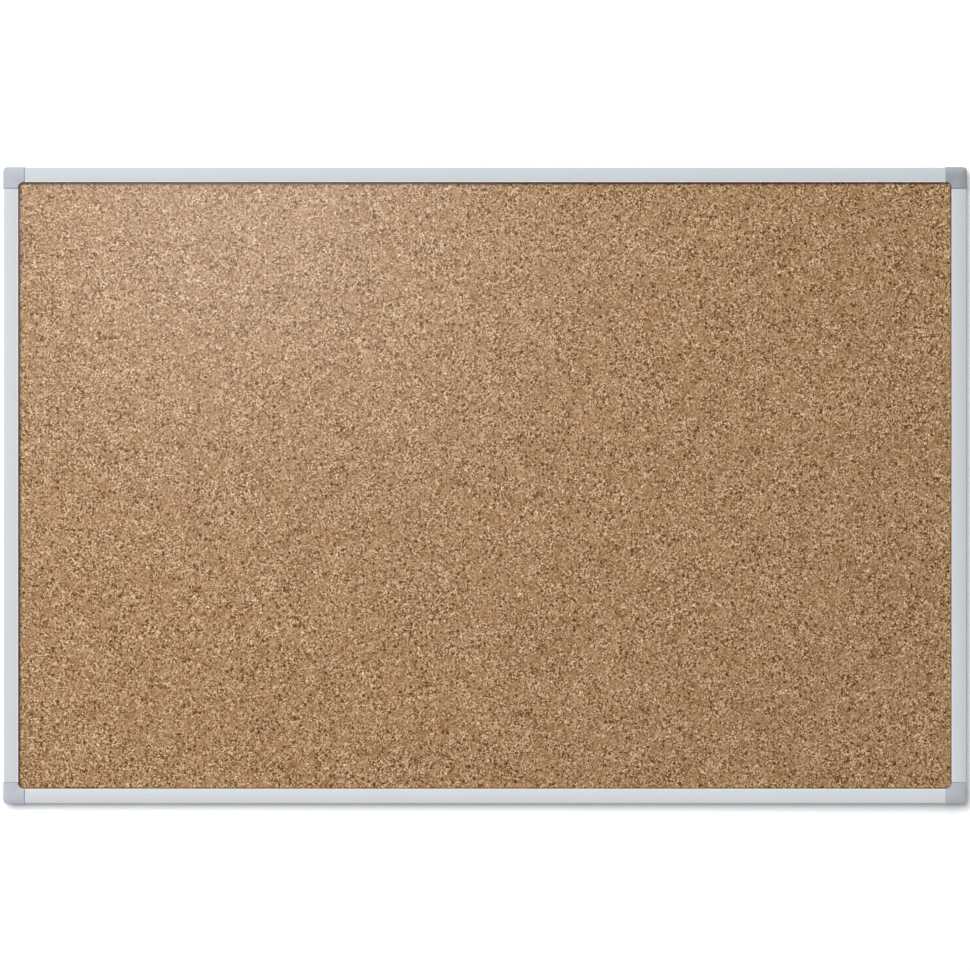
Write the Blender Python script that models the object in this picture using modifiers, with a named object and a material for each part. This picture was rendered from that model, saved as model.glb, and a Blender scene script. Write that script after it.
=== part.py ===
"""Cork bulletin board in an aluminium frame with clip-on plastic corner caps.

The board faces -Y and hangs flat against a wall on its +Y side. +Z is up, +X is to the
reader's right, and the origin is the centre of the whole board's bounding box.

Most shapes are drawn in a corner frame and then placed: "along" runs inwards from the
board's outer edge, and "depth" runs from the front (0) to the wall (BOARD_DEPTH).
"""

import math

import bmesh
import bpy
from mathutils import Matrix, Vector

MM = 0.001

# Whole board
BOARD_WIDTH = 914 * MM
BOARD_HEIGHT = 604 * MM
BOARD_DEPTH = 15 * MM
GAP = 0.3 * MM  # clearance between neighbouring pieces

# Aluminium rail section: a hollow chamber on the outside, a slot for the panel inside
CAP_PROUD = 0.4 * MM  # how far the caps stand out past the rails' outer sides
RAIL_SETBACK = 0.3 * MM  # depth of the highest line of the rail's face
RAIL_FACE = 14.0 * MM
RAIL_CROWN = 0.6 * MM  # how much the face falls away towards its two edges
RAIL_WALL = 1.2 * MM
RAIL_OUTER_RADIUS = 0.7 * MM
RAIL_BEAD_TOP = 0.6 * MM  # depth of the rounded bead along the face's inner edge
RAIL_CREASE_ANGLE = 215  # where the bead's round starts, at the crease beside the face
RAIL_BACK_RADIUS = 0.5 * MM
RAIL_FACE_BACK = 1.9 * MM  # depth of the face wall's inner side
RAIL_LIP_BACK = 3.5 * MM  # depth the lip's turned edge reaches, just short of the cork
RAIL_SLOT_BACK = 13.8 * MM
RAIL_BACK_FLANGE = 12.6 * MM
CHAMBER_WIDTH = 5.2 * MM
CHAMBER_BACK = 13.6 * MM
CROWN_STEPS = 10
BEAD_STEPS = 6

# Panel: cork on a fibreboard core with a thin backing sheet, glue lines left as gaps
PANEL_EDGE_GAP = 0.4 * MM
PANEL_CORNER_CUT = 10 * MM
CORK_THICKNESS = 2.0 * MM
CORE_THICKNESS = 6.7 * MM
BACKING_THICKNESS = 0.4 * MM

# Corner cap and the elbow under it
CORNER_SIZE = 20.2 * MM
CORNER_RADIUS = 4.0 * MM
CORNER_FILLET = 5.0 * MM  # rounds the cork's visible corner
CAP_SHELL = 1.6 * MM
CAP_SKIRT_BACK = 11.7 * MM
CAP_EDGE_ROUND = 1.4 * MM
CAP_LIP_ROUND_SHARE = 0.36  # the lip's and joint edges' rounding against the outer edge's
CAP_ROUND_STEPS = 4
ELBOW_PLATE_TOP = 13.9 * MM
LEG_INSERT = 28 * MM
LEG_TAPER = 3 * MM
LEG_PINCH = 0.8 * MM  # how much each side of a leg's tip draws in
ELBOW_DIAGONAL = 25.8 * MM  # along + across on the elbow's inner bevel
PEG_RADIUS = 1.2 * MM
PEG_END = 8.5 * MM
PEG_ALONG = 16.4 * MM
PEG_STEPS = 16
ARC_STEPS = 8

# Wall-screw hole in each elbow, hidden by its cap
WALL_HOLE_PLACE = 8.2 * MM
WALL_HOLE_RADIUS = 2.3 * MM
HEAD_POCKET_RADIUS = 4.5 * MM
HEAD_POCKET_FLOOR = 10 * MM
HEAD_CONE_END = 12.2 * MM

# Countersunk tapping screw that holds each elbow leg in its rail
SCREW_INSET = 12 * MM  # from the rail's end
SCREW_HEAD_RADIUS = 2.6 * MM
SCREW_HEAD_RIM = 0.3 * MM
SCREW_HEAD_HEIGHT = 1.8 * MM
SCREW_CORE_RADIUS = 0.95 * MM
SCREW_THREAD_RADIUS = 1.2 * MM
SCREW_THREAD_PITCH = 1.1 * MM
SCREW_LENGTH = 8.9 * MM
SCREW_POINT = 1.6 * MM
SCREW_SUNK = 0.2 * MM  # the head's top below the frame's back
SCREW_CROSS_SPAN = 2.8 * MM
SCREW_CROSS_WIDTH = 0.6 * MM
SCREW_CROSS_DEPTH = 1.0 * MM
SCREW_STEPS = 16
HOLE_STEPS = 24

FRONT_Y = -BOARD_DEPTH / 2
OVERSHOOT = 1 * MM  # how far cutters run past what they cut
WELD = 1e-6
FLAT = math.radians(1)  # faces that meet at less than this are one flat face
SMOOTH_BELOW = math.radians(35)  # faces that meet at less than this are shaded as one

WEB_OUTER = RAIL_WALL + CHAMBER_WIDTH
SLOT_FLOOR = WEB_OUTER + RAIL_WALL
PANEL_INSET = CAP_PROUD + SLOT_FLOOR + PANEL_EDGE_GAP
CORK_FRONT = RAIL_LIP_BACK + GAP
CORE_FRONT = CORK_FRONT + CORK_THICKNESS + GAP
BACKING_FRONT = CORE_FRONT + CORE_THICKNESS + GAP
OPENING_INSET = CAP_PROUD + RAIL_FACE
RAIL_START = CORNER_SIZE + GAP
LEG_OUTER = CAP_PROUD + RAIL_WALL + GAP
LEG_INNER = CAP_PROUD + WEB_OUTER - GAP
LEG_FRONT = RAIL_FACE_BACK + GAP
LEG_BACK = CHAMBER_BACK - GAP
ELBOW_FOOT_TOP = CAP_SKIRT_BACK + GAP
LEG_MIDDLE = (LEG_OUTER + LEG_INNER) / 2
LEG_END = RAIL_START + LEG_INSERT
SCREW_PLACE = RAIL_START + SCREW_INSET

# Columns say where a drawing's x, y and its extrusion point in the board's axes.
PLAN_AXES = Matrix(((1, 0, 0, 0), (0, 0, 1, 0), (0, -1, 0, 0), (0, 0, 0, 1)))
SECTION_AXES = Matrix(((0, 0, 1, 0), (0, 1, 0, 0), (-1, 0, 0, 0), (0, 0, 0, 1)))
TURNED_AXES = Matrix.Rotation(-math.pi / 2, 4, "X")  # a turned piece's +Z points at the wall

# Each corner is the top left one turned about Y: name, quarter turns, side signs.
CORNERS = (
    ("top_left", 0, -1, 1),
    ("top_right", 1, 1, 1),
    ("bottom_right", 2, 1, -1),
    ("bottom_left", 3, -1, -1),
)


# ---------------------------------------------------------------- scene and helpers


def clear_scene():
    for obj in list(bpy.data.objects):
        bpy.data.objects.remove(obj)


def new_collection(name):
    collection = bpy.data.collections.new(name)
    bpy.context.scene.collection.children.link(collection)
    return collection


def material(name, colour, roughness, metallic=0.0):
    made = bpy.data.materials.new(name)
    made.use_nodes = True
    shader = made.node_tree.nodes["Principled BSDF"]
    shader.inputs["Base Color"].default_value = (*colour, 1.0)
    shader.inputs["Roughness"].default_value = roughness
    shader.inputs["Metallic"].default_value = metallic
    return made


def arc(centre, radius, start, end, steps=ARC_STEPS):
    """Points on a circle's arc, angles in degrees, both ends included."""
    points = []
    for step in range(steps + 1):
        angle = math.radians(start + (end - start) * step / steps)
        x = centre[0] + radius * math.cos(angle)
        y = centre[1] + radius * math.sin(angle)
        points.append((x, y))
    return points


def evaluated_mesh(obj):
    graph = bpy.context.evaluated_depsgraph_get()
    return bpy.data.meshes.new_from_object(obj.evaluated_get(graph))


def weld(mesh):
    work = bmesh.new()
    work.from_mesh(mesh)
    bmesh.ops.remove_doubles(work, verts=work.verts, dist=WELD)
    bmesh.ops.recalc_face_normals(work, faces=work.faces)
    work.to_mesh(mesh)
    work.free()


def extruded(name, loops, start, end, axes):
    """A mesh object: the outline drawn by loops (the first one outside, the rest holes),
    extruded from start to end along the drawing's normal."""
    curve = bpy.data.curves.new(name, "CURVE")
    curve.dimensions = "2D"
    curve.fill_mode = "BOTH"
    curve.extrude = (end - start) / 2
    for loop in loops:
        spline = curve.splines.new("POLY")
        spline.points.add(len(loop) - 1)
        for point, (x, y) in zip(spline.points, loop):
            point.co = (x, y, 0, 1)
        spline.use_cyclic_u = True
    drawing = bpy.data.objects.new(name + "_drawing", curve)
    helpers.objects.link(drawing)
    mesh = evaluated_mesh(drawing)
    mesh.transform(axes @ Matrix.Translation((0, 0, (start + end) / 2)))
    weld(mesh)
    bpy.data.objects.remove(drawing)
    obj = bpy.data.objects.new(name, mesh)
    helpers.objects.link(obj)
    return obj


def turned(name, profile, steps):
    """A mesh object turned about Z from a profile of (radius, height), top to bottom."""
    mesh = bpy.data.meshes.new(name)
    points = [(radius, 0, height) for radius, height in profile]
    edges = [(i, i + 1) for i in range(len(points) - 1)]
    mesh.from_pydata(points, edges, [])
    obj = bpy.data.objects.new(name, mesh)
    helpers.objects.link(obj)
    screw = obj.modifiers.new("Turn", "SCREW")
    screw.steps = steps
    screw.render_steps = steps
    screw.use_merge_vertices = True
    screw.merge_threshold = WELD
    settle(obj)
    return obj


def placed_at(obj, matrix):
    obj.data.transform(matrix)
    return obj


def boolean(target, tool, operation):
    modifier = target.modifiers.new(operation.title(), "BOOLEAN")
    modifier.operation = operation
    modifier.object = tool
    modifier.solver = "EXACT"


def settle(obj, tools=()):
    """Applies obj's modifiers and removes the tools they used."""
    bpy.context.view_layer.update()
    mesh = evaluated_mesh(obj)
    obj.modifiers.clear()
    obj.data = mesh
    weld(mesh)
    for tool in tools:
        bpy.data.objects.remove(tool)
    return obj


def joined(obj, *tools):
    for tool in tools:
        boolean(obj, tool, "UNION")
    return settle(obj, tools)


def cut(obj, *tools):
    for tool in tools:
        boolean(obj, tool, "DIFFERENCE")
    return settle(obj, tools)


def part(name, mesh, finish, location, quarter_turns=0):
    """A finished piece: its own object at location, turned about Y."""
    if not mesh.materials:
        mesh.materials.append(finish)
        mesh.shade_smooth()
        mesh.set_sharp_from_angle(angle=SMOOTH_BELOW)
    obj = bpy.data.objects.new(name, mesh)
    obj.location = location
    obj.rotation_euler = (0, quarter_turns * math.pi / 2, 0)
    board.objects.link(obj)
    return obj


def corner_place(side_x, side_z):
    """The front outer corner of the board on that side."""
    return Vector((side_x * BOARD_WIDTH / 2, FRONT_Y, side_z * BOARD_HEIGHT / 2))


# ---------------------------------------------------------------- panel


def sheet(name, finish, front, thickness):
    """One layer of the panel, with its corners cut off to clear the elbows."""
    half_x = BOARD_WIDTH / 2 - PANEL_INSET
    half_z = BOARD_HEIGHT / 2 - PANEL_INSET
    cut_x = half_x - PANEL_CORNER_CUT
    cut_z = half_z - PANEL_CORNER_CUT
    outline = [(cut_x, half_z), (half_x, cut_z), (half_x, -cut_z), (cut_x, -half_z)]
    outline += [(-x, z) for x, z in reversed(outline)]
    solid = extruded(name + "_blank", [outline], front, front + thickness, PLAN_AXES)
    part(name, solid.data, finish, (0, FRONT_Y, 0))
    bpy.data.objects.remove(solid)


# ---------------------------------------------------------------- rails


def face_depth(across):
    """Depth of the rail's crowned face at a distance from its outer side."""
    half = RAIL_FACE / 2
    return RAIL_SETBACK + RAIL_CROWN * ((across - half) / half) ** 2


def rail_section():
    """The rail's outline and its chamber, as (distance from the outer side, depth)."""
    shoulder = RAIL_OUTER_RADIUS
    crease = RAIL_FACE - RAIL_WALL
    bead_radius = RAIL_WALL / 2
    shoulder_centre = (shoulder, face_depth(shoulder) + RAIL_OUTER_RADIUS)
    outline = arc(shoulder_centre, RAIL_OUTER_RADIUS, 180, 270)
    for step in range(1, CROWN_STEPS + 1):
        across = shoulder + (crease - shoulder) * step / CROWN_STEPS
        outline.append((across, face_depth(across)))
    bead_centre = (RAIL_FACE - bead_radius, RAIL_BEAD_TOP + bead_radius)
    outline += arc(bead_centre, bead_radius, RAIL_CREASE_ANGLE, 360, BEAD_STEPS)
    outline += [
        (RAIL_FACE, RAIL_LIP_BACK),
        (crease, RAIL_LIP_BACK),
        (crease, RAIL_FACE_BACK),
        (SLOT_FLOOR, RAIL_FACE_BACK),
        (SLOT_FLOOR, RAIL_SLOT_BACK),
        (RAIL_BACK_FLANGE, RAIL_SLOT_BACK),
        (RAIL_BACK_FLANGE, BOARD_DEPTH),
    ]
    back_centre = (RAIL_BACK_RADIUS, BOARD_DEPTH - RAIL_BACK_RADIUS)
    outline += arc(back_centre, RAIL_BACK_RADIUS, 90, 180, BEAD_STEPS)
    chamber = [
        (RAIL_WALL, RAIL_FACE_BACK),
        (WEB_OUTER, RAIL_FACE_BACK),
        (WEB_OUTER, CHAMBER_BACK),
        (RAIL_WALL, CHAMBER_BACK),
    ]
    return [outline, chamber]


def rail_mesh(name, length):
    """A square-cut rail along X with its outer side at z = 0 and its screws' two holes."""
    rail = extruded(name, rail_section(), -length / 2, length / 2, SECTION_AXES)
    tools = []
    for side in (-1, 1):
        place = Vector((side * (length / 2 - SCREW_INSET), 0, CAP_PROUD - LEG_MIDDLE))
        tools.append(screw_clearance(place))
    return cut(rail, *tools).data


def make_rails(finish):
    across = rail_mesh("rail_long", BOARD_WIDTH - 2 * RAIL_START)
    upright = rail_mesh("rail_short", BOARD_HEIGHT - 2 * RAIL_START)
    edge_x = BOARD_WIDTH / 2 - CAP_PROUD
    edge_z = BOARD_HEIGHT / 2 - CAP_PROUD
    part("rail_top", across, finish, (0, FRONT_Y, edge_z), 0)
    part("rail_right", upright, finish, (edge_x, FRONT_Y, 0), 1)
    part("rail_bottom", across, finish, (0, FRONT_Y, -edge_z), 2)
    part("rail_left", upright, finish, (-edge_x, FRONT_Y, 0), 3)


# ---------------------------------------------------------------- corner elbows


def corner_outline():
    """The square corner seen from the front, with its rounded outer corner and its
    fillet, as (along, across) from the outer corner."""
    fillet_centre = OPENING_INSET + CORNER_FILLET
    outline = arc((CORNER_RADIUS, CORNER_RADIUS), CORNER_RADIUS, 180, 270)
    outline += [(CORNER_SIZE, 0), (CORNER_SIZE, OPENING_INSET)]
    outline += arc((fillet_centre, fillet_centre), CORNER_FILLET, 270, 180)
    outline += [(OPENING_INSET, CORNER_SIZE), (0, CORNER_SIZE)]
    return outline


def foot_outline():
    """The part of the corner outside the panel's cut-off corner."""
    reach = ELBOW_DIAGONAL - CORNER_SIZE
    outline = arc((CORNER_RADIUS, CORNER_RADIUS), CORNER_RADIUS, 180, 270)
    outline += [(CORNER_SIZE, 0), (CORNER_SIZE, reach), (reach, CORNER_SIZE), (0, CORNER_SIZE)]
    return outline


def legs_outline():
    """Two tapered legs and the block that joins them across the corner."""
    bevel = ELBOW_DIAGONAL - LEG_INNER
    one_leg = [
        (LEG_END - LEG_TAPER, LEG_OUTER),
        (LEG_END, LEG_OUTER + LEG_PINCH),
        (LEG_END, LEG_INNER - LEG_PINCH),
        (LEG_END - LEG_TAPER, LEG_INNER),
        (bevel, LEG_INNER),
    ]
    other_leg = [(across, along) for along, across in reversed(one_leg)]
    return [(LEG_OUTER, LEG_OUTER)] + one_leg + other_leg


def elbow_mesh():
    elbow = extruded("elbow", [legs_outline()], LEG_FRONT, LEG_BACK, PLAN_AXES)
    foot = extruded("foot", [foot_outline()], ELBOW_FOOT_TOP, BOARD_DEPTH, PLAN_AXES)
    plate = extruded("plate", [corner_outline()], ELBOW_PLATE_TOP, BOARD_DEPTH, PLAN_AXES)
    joined(elbow, foot)
    joined(elbow, plate)
    tools = [wall_screw_hole()]
    for along, across in ((PEG_ALONG, LEG_MIDDLE), (LEG_MIDDLE, PEG_ALONG)):
        tools.append(peg("socket", along, across, 0, PEG_END + OVERSHOOT, GAP))
    tools.append(screw_clearance(Vector((SCREW_PLACE, 0, -LEG_MIDDLE))))
    tools.append(screw_clearance(Vector((LEG_MIDDLE, 0, -SCREW_PLACE))))
    return cut(elbow, *tools).data


def wall_screw_hole():
    """A pocket for a wall screw's head, its countersink and the through hole."""
    profile = [
        (0, OVERSHOOT),
        (HEAD_POCKET_RADIUS, OVERSHOOT),
        (HEAD_POCKET_RADIUS, -HEAD_POCKET_FLOOR),
        (WALL_HOLE_RADIUS, -HEAD_CONE_END),
        (WALL_HOLE_RADIUS, -BOARD_DEPTH - OVERSHOOT),
        (0, -BOARD_DEPTH - OVERSHOOT),
    ]
    place = Matrix.Translation((WALL_HOLE_PLACE, 0, -WALL_HOLE_PLACE))
    mouth_to_front = Matrix.Rotation(math.pi / 2, 4, "X")
    return placed_at(turned("wall_hole", profile, HOLE_STEPS), place @ mouth_to_front)


def peg(name, along, across, start, end, clearance=0.0):
    """A round peg, or its socket's cutter, from one depth to another."""
    radius = PEG_RADIUS + clearance
    profile = [(0, end), (radius, end), (radius, start), (0, start)]
    place = Matrix.Translation((along, 0, -across))
    return placed_at(turned(name, profile, PEG_STEPS), place @ TURNED_AXES)


# ---------------------------------------------------------------- corner caps


def round_front_edges(cap):
    """Bevels the outline of the cap's front, its outer sides most."""
    work = bmesh.new()
    work.from_mesh(cap.data)
    bmesh.ops.dissolve_limit(work, angle_limit=FLAT, verts=work.verts, edges=work.edges)
    weights = work.edges.layers.float.new("bevel_weight_edge")
    for edge in work.edges:
        ends = [(vert.co.x, -vert.co.z) for vert in edge.verts]
        if max(vert.co.y for vert in edge.verts) > WELD:
            continue
        outer = all(min(end) < CORNER_RADIUS - WELD for end in ends)
        joint = any(all(end[axis] > CORNER_SIZE - WELD for end in ends) for axis in (0, 1))
        edge[weights] = 1.0 if outer and not joint else CAP_LIP_ROUND_SHARE
    work.to_mesh(cap.data)
    work.free()
    bevel = cap.modifiers.new("Rounding", "BEVEL")
    bevel.limit_method = "WEIGHT"
    bevel.width = CAP_EDGE_ROUND
    bevel.segments = CAP_ROUND_STEPS
    settle(cap)


def cap_mesh():
    """A shell over the corner: a front with a short lip round the cork, two skirts down
    the outer sides and two pegs that clip into the elbow."""
    cap = extruded("cap", [corner_outline()], 0, CAP_SKIRT_BACK, PLAN_AXES)
    round_front_edges(cap)
    beyond = CORNER_SIZE + OVERSHOOT
    lip = OPENING_INSET - RAIL_WALL
    fillet = CORNER_FILLET + RAIL_WALL
    fillet_centre = OPENING_INSET + CORNER_FILLET
    hollow = [(CAP_SHELL, CAP_SHELL), (beyond, CAP_SHELL), (beyond, lip)]
    hollow += arc((fillet_centre, fillet_centre), fillet, 270, 180)
    hollow += [(lip, beyond), (CAP_SHELL, beyond)]
    middle = lip / 2
    inside = [(middle, middle), (beyond, middle), (beyond, beyond), (middle, beyond)]
    end = CAP_SKIRT_BACK + OVERSHOOT
    cut(cap, extruded("hollow", [hollow], CAP_SHELL, end, PLAN_AXES))
    cut(cap, extruded("inside", [inside], RAIL_LIP_BACK, end + OVERSHOOT, PLAN_AXES))
    for along, across in ((PEG_ALONG, LEG_MIDDLE), (LEG_MIDDLE, PEG_ALONG)):
        joined(cap, peg("peg", along, across, CAP_SHELL / 2, PEG_END))
    return cap.data


def make_corners(elbow_finish, cap_finish):
    elbow = elbow_mesh()
    cap = cap_mesh()
    for name, turns, side_x, side_z in CORNERS:
        place = corner_place(side_x, side_z)
        part("corner_elbow_" + name, elbow, elbow_finish, place, turns)
        part("corner_cap_" + name, cap, cap_finish, place, turns)


# ---------------------------------------------------------------- screws


def screw_profile():
    """A countersunk head, then a thread as rings, then a point."""
    profile = [
        (0, 0),
        (SCREW_HEAD_RADIUS, 0),
        (SCREW_HEAD_RADIUS, -SCREW_HEAD_RIM),
        (SCREW_CORE_RADIUS, -SCREW_HEAD_HEIGHT),
    ]
    tip = SCREW_LENGTH - SCREW_POINT
    height = SCREW_HEAD_HEIGHT + SCREW_THREAD_PITCH / 2
    while height + SCREW_THREAD_PITCH / 2 < tip:
        profile.append((SCREW_CORE_RADIUS, -height + SCREW_THREAD_PITCH / 4))
        profile.append((SCREW_THREAD_RADIUS, -height))
        profile.append((SCREW_CORE_RADIUS, -height - SCREW_THREAD_PITCH / 4))
        height += SCREW_THREAD_PITCH
    profile += [(SCREW_CORE_RADIUS, -tip), (0, -SCREW_LENGTH)]
    return profile


def box(name, size, centre):
    work = bmesh.new()
    bmesh.ops.create_cube(work, size=1.0)
    mesh = bpy.data.meshes.new(name)
    work.to_mesh(mesh)
    work.free()
    mesh.transform(Matrix.Translation(centre) @ Matrix.Diagonal((*size, 1)))
    obj = bpy.data.objects.new(name, mesh)
    helpers.objects.link(obj)
    return obj


def screw_mesh():
    screw = turned("screw", screw_profile(), SCREW_STEPS)
    height = SCREW_CROSS_DEPTH + OVERSHOOT
    centre = (0, 0, OVERSHOOT - height / 2)
    cut(screw, box("slot", (SCREW_CROSS_SPAN, SCREW_CROSS_WIDTH, height), centre))
    cut(screw, box("slot", (SCREW_CROSS_WIDTH, SCREW_CROSS_SPAN, height), centre))
    return placed_at(screw, TURNED_AXES).data


def screw_clearance(place):
    """Cutter for a screw that enters from the back at place, a little larger all round."""
    head = SCREW_HEAD_RADIUS + GAP
    core = SCREW_THREAD_RADIUS + GAP
    profile = [
        (0, OVERSHOOT),
        (head, OVERSHOOT),
        (head, -SCREW_HEAD_RIM - GAP / 2),
        (core, -SCREW_HEAD_HEIGHT - GAP / 2),
        (core, -SCREW_LENGTH - OVERSHOOT),
        (0, -SCREW_LENGTH - OVERSHOOT),
    ]
    top = Vector((0, BOARD_DEPTH - SCREW_SUNK, 0))
    matrix = Matrix.Translation(place + top) @ TURNED_AXES
    return placed_at(turned("screw_hole", profile, HOLE_STEPS), matrix)


def make_screws(finish):
    screw = screw_mesh()
    back = Vector((0, BOARD_DEPTH - SCREW_SUNK, 0))
    for name, _, side_x, side_z in CORNERS:
        corner = corner_place(side_x, side_z) + back
        long_rail = corner - Vector((side_x * SCREW_PLACE, 0, side_z * LEG_MIDDLE))
        short_rail = corner - Vector((side_x * LEG_MIDDLE, 0, side_z * SCREW_PLACE))
        part("screw_%s_long_rail" % name, screw, finish, long_rail)
        part("screw_%s_short_rail" % name, screw, finish, short_rail)


# ---------------------------------------------------------------- assembly

clear_scene()
board = new_collection("cork_bulletin_board")
helpers = new_collection("helpers")

cork = material("cork", (0.40, 0.25, 0.14), 0.9)
fibreboard = material("fibreboard", (0.36, 0.28, 0.19), 0.95)
backing_paper = material("backing_paper", (0.62, 0.58, 0.52), 0.85)
aluminium = material("anodised_aluminium", (0.70, 0.72, 0.73), 0.35, 1.0)
cap_plastic = material("cap_plastic", (0.53, 0.54, 0.58), 0.5)
elbow_plastic = material("elbow_plastic", (0.42, 0.43, 0.46), 0.6)
zinc_steel = material("zinc_plated_steel", (0.66, 0.66, 0.64), 0.3, 1.0)

sheet("cork_sheet", cork, CORK_FRONT, CORK_THICKNESS)
sheet("fibreboard_core", fibreboard, CORE_FRONT, CORE_THICKNESS)
sheet("backing_sheet", backing_paper, BACKING_FRONT, BACKING_THICKNESS)
make_rails(aluminium)
make_corners(elbow_plastic, cap_plastic)
make_screws(zinc_steel)

for leftover in list(helpers.objects):
    bpy.data.objects.remove(leftover)
bpy.data.collections.remove(helpers)
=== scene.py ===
"""Looks of the cork bulletin board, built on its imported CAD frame.

The board faces -Y, +Z is up, and everything is in metres. The rails, the caps and the
cork sheet are modelled more finely here, in the place of their CAD nodes. The elbows and
the screws are their CAD shapes with softened edges. The core and the backing sheet keep
their CAD meshes.
"""

import math

import bmesh
import bpy
from mathutils import Matrix, Vector, noise


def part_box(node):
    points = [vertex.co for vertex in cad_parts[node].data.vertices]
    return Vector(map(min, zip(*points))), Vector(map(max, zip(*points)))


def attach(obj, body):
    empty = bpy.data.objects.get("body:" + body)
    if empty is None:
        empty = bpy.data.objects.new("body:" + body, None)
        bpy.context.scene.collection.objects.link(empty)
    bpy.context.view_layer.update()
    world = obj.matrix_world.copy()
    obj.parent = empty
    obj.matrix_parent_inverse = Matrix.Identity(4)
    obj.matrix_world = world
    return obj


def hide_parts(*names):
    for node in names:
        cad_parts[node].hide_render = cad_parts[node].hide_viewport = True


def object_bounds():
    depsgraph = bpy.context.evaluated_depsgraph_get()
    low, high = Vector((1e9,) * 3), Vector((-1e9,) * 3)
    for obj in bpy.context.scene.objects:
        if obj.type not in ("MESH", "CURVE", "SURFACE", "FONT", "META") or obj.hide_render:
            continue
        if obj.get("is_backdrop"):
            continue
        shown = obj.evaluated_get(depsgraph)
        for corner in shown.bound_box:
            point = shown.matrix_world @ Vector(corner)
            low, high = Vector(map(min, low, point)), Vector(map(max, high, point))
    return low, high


MM = 0.001

# Rail section, measured from the rail's outer side ("across") and from the board's front
# ("depth"), as in the CAD
RAIL_SETBACK = 0.3 * MM
RAIL_FACE = 14.0 * MM
RAIL_CROWN = 0.6 * MM
RAIL_WALL = 1.2 * MM
RAIL_OUTER_RADIUS = 0.7 * MM
RAIL_BEAD_TOP = 0.6 * MM
RAIL_CREASE_ANGLE = 215
RAIL_BACK_RADIUS = 0.5 * MM
RAIL_FACE_BACK = 1.9 * MM
RAIL_LIP_BACK = 3.5 * MM
RAIL_SLOT_BACK = 13.8 * MM
RAIL_BACK_FLANGE = 12.6 * MM
CHAMBER_WIDTH = 5.2 * MM
CHAMBER_BACK = 13.6 * MM
RAIL_END_ROUND = 0.1 * MM
RAIL_END_PLAY = 0.25 * MM  # how much closer two rails come to the right-hand caps
CROWN_STEPS = 28
BEAD_STEPS = 14

# Corner caps
CORNER_RADIUS = 4.0 * MM
CORNER_FILLET = 5.0 * MM
CAP_SHELL = 1.6 * MM  # thickness of the front and the outer sides
CAP_EDGE_ROUND = 1.4 * MM  # at the outer sides
CAP_LIP_ROUND_SHARE = 0.36  # of that, at the joints and beside the cork
CAP_ROUND_STEPS = 8
CAP_GRID = 0.6 * MM  # spacing of the crowned front's mesh
CAP_CROWN = 0.95 * MM  # how much the front falls away towards the outer sides
CAP_MITRE = 2.5 * MM  # how softly the two arms' crowns meet across the corner
PEG_RADIUS = 1.2 * MM
PEG_ROOT = 1.2 * MM  # inside the shell, so that the two join
PEG_END = 8.5 * MM
PEG_ALONG = 16.4 * MM
ARC_STEPS = 16
ROUND_STEPS = 32

# Painted shade and light: pieces made a little darker or lighter than the rest of their
# material, for how the light falls on them
PAINTED_LIGHT_SHADES = {
    "corner_cap_top_left": (0.92, 0.92, 0.93),
    "corner_cap_top_right": (0.68, 0.70, 0.70),
    "corner_cap_bottom_left": (1.06, 1.05, 1.05),
    "corner_cap_bottom_right": (1.08, 1.07, 1.05),
    "rail_bottom": (1.05, 1.05, 1.05),
}

# Screws and their holes in the rails' backs
SCREW_HEAD_RADIUS = 2.9 * MM
SCREW_HEAD_RIM = 0.45 * MM
SCREW_HEAD_HEIGHT = 1.95 * MM
SCREW_HOLE_RADIUS = 1.5 * MM
SCREW_HOLE_DEPTH = 9.9 * MM

# Cork relief
CORK_SPACING = 2.35 * MM  # between its vertices
LUMP_SIZE = 3.1 * MM
LUMP_HEIGHT = 0.045 * MM
SWELL_SIZE = 55 * MM
SWELL_HEIGHT = 0.10 * MM
PIT_SIZE = 4.3 * MM
PIT_RARITY = 0.42
PIT_DEPTH = 0.16 * MM
LIP_FADE = 2 * MM  # over which the relief dies away at the frame's lip

# Cork colour. A jitter is the size of the noise that pushes cells about, and how far
GRANULE = 1.35 * MM
GRANULE_SHARE = 0.62  # in the tone, the rest being crumbs
GRANULE_JITTER = (1.3 * MM, 1.3 * MM)
CRUMB = 0.7 * MM
CLUMP = 6.5 * MM
CLUMP_JITTER = (2.5 * MM, 3 * MM)
CLUMP_CONTRAST = (1.15, 0.6)  # of the granules in one clump and in the next
MOTTLE = 26 * MM
MOTTLE_SHARE = 0.02
BARK_SPACING = 5 * MM
BARK_JITTER = (1.6 * MM, 2.2 * MM)
BARK_SIZE = 0.3  # the largest bark bit's radius as a share of its spacing
BARK_SOFTNESS = 0.05  # of its edge, as a share of the spacing
BARK_STRENGTH = 0.9
TINT = 9 * MM
TINT_SHARE = 0.03
CORK_BUMP = 0.12 * MM
CORK_ROUGHNESS = (0.82, 0.70)  # of its dark and its light granules
CORK_COAT = 0.4
CORK_COAT_ROUGHNESS = 0.26

# Painted shade on the cork along the lip, where the lip shades it. Pairs are for the lower
# right and the upper left
LIP_SHADE_START = 0.2 * MM
LIP_SHADE_REACH = (1.5 * MM, 2.8 * MM)
LIP_SHADE_STRENGTH = (0.65, 0.95)
LIP_SHADE_TURN = 0.3  # either side of the middle, the share over which one becomes the other
TOP_LIP_SHADE = 0.8 * MM  # how much farther it reaches below the top lip
TOP_LIP_SHADE_HEIGHT = (0.9, 0.97)  # where that sets in, as a share of half the height

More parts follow.
